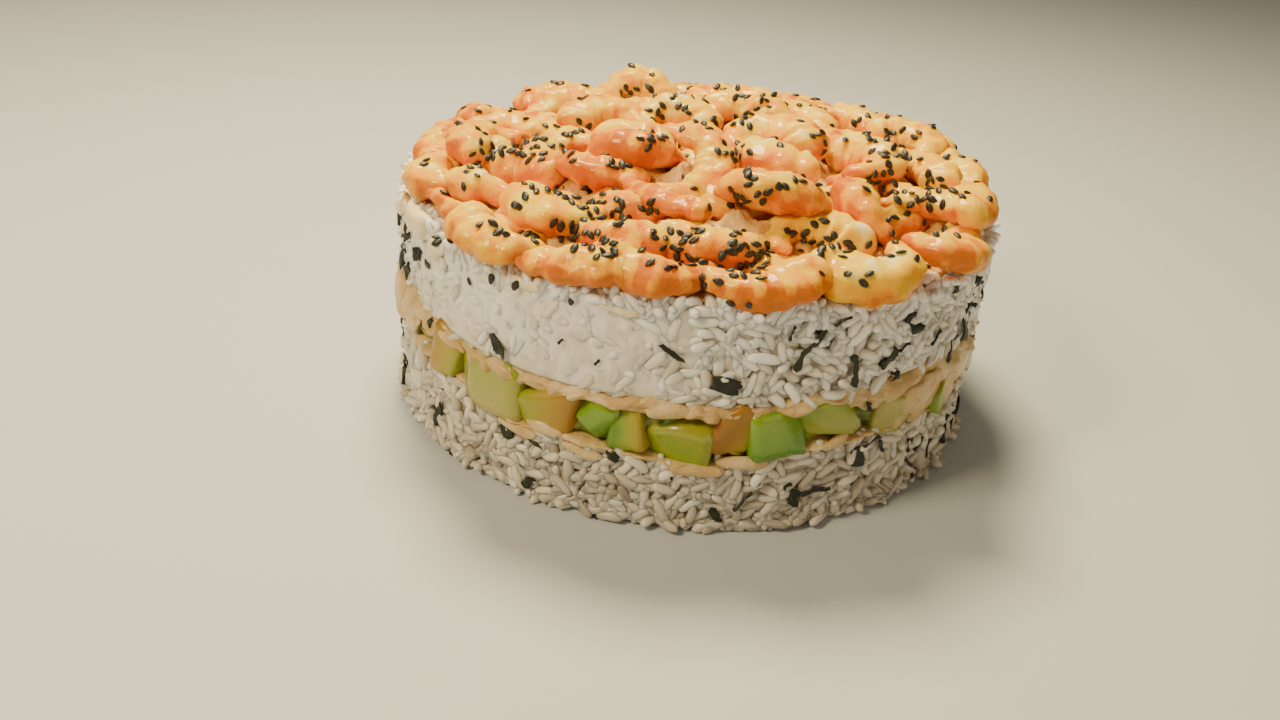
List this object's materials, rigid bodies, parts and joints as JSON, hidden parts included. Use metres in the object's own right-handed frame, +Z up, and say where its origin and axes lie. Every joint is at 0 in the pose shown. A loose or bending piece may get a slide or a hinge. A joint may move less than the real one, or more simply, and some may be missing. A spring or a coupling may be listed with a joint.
{
  "type": "sushi cake",
  "caption": "Round layered sushi cake of rice, cream cheese, avocado and cucumber, topped with a heap of curled cooked shrimps and black sesame.",
  "frame": {"origin": "middle of the flat underside", "axes": "+Z up through the layers, -Y towards the front, +X to the right seen from the front"},
  "size_m": [0.1798, 0.1821, 0.0916],
  "materials": {
    "rice": "moist, slightly see-through cooked rice",
    "cream": "smooth, soft cream cheese",
    "sauce_cream": "soft peach-coloured seasoned cream cheese",
    "filling": "moist cut avocado and cucumber",
    "shrimp": "wet cooked shrimp with orange bands"
  },
  "bodies": {
    "root": {"rice_bottom": "rice", "cream_lower": "cream", "avocado_cucumber": "filling", "cream_middle": "sauce_cream", "rice_top": "rice", "cream_top": "cream", "shrimp_01": "shrimp", "shrimp_02": "shrimp", "shrimp_03": "shrimp", "shrimp_04": "shrimp", "shrimp_05": "shrimp", "shrimp_06": "shrimp", "shrimp_07": "shrimp", "shrimp_08": "shrimp", "shrimp_09": "shrimp", "shrimp_10": "shrimp", "shrimp_11": "shrimp", "shrimp_12": "shrimp", "shrimp_13": "shrimp", "shrimp_14": "shrimp", "shrimp_15": "shrimp", "shrimp_16": "shrimp", "shrimp_17": "shrimp", "shrimp_18": "shrimp", "shrimp_19": "shrimp", "shrimp_20": "shrimp", "shrimp_21": "shrimp", "shrimp_22": "shrimp", "shrimp_23": "shrimp", "shrimp_24": "shrimp", "shrimp_25": "shrimp", "shrimp_26": "shrimp", "shrimp_27": "shrimp", "shrimp_28": "shrimp", "shrimp_29": "shrimp", "shrimp_30": "shrimp", "shrimp_31": "shrimp", "shrimp_32": "shrimp", "shrimp_33": "shrimp", "shrimp_34": "shrimp", "shrimp_35": "shrimp", "shrimp_36": "shrimp", "shrimp_37": "shrimp", "shrimp_38": "shrimp", "shrimp_39": "shrimp", "shrimp_40": "shrimp", "shrimp_41": "shrimp", "shrimp_42": "shrimp", "shrimp_43": "shrimp", "shrimp_44": "shrimp", "shrimp_45": "shrimp", "shrimp_46": "shrimp", "shrimp_47": "shrimp", "shrimp_48": "shrimp", "shrimp_49": "shrimp", "shrimp_50": "shrimp", "shrimp_51": "shrimp", "shrimp_52": "shrimp", "shrimp_53": "shrimp", "shrimp_54": "shrimp"}
  },
  "joints": []
}
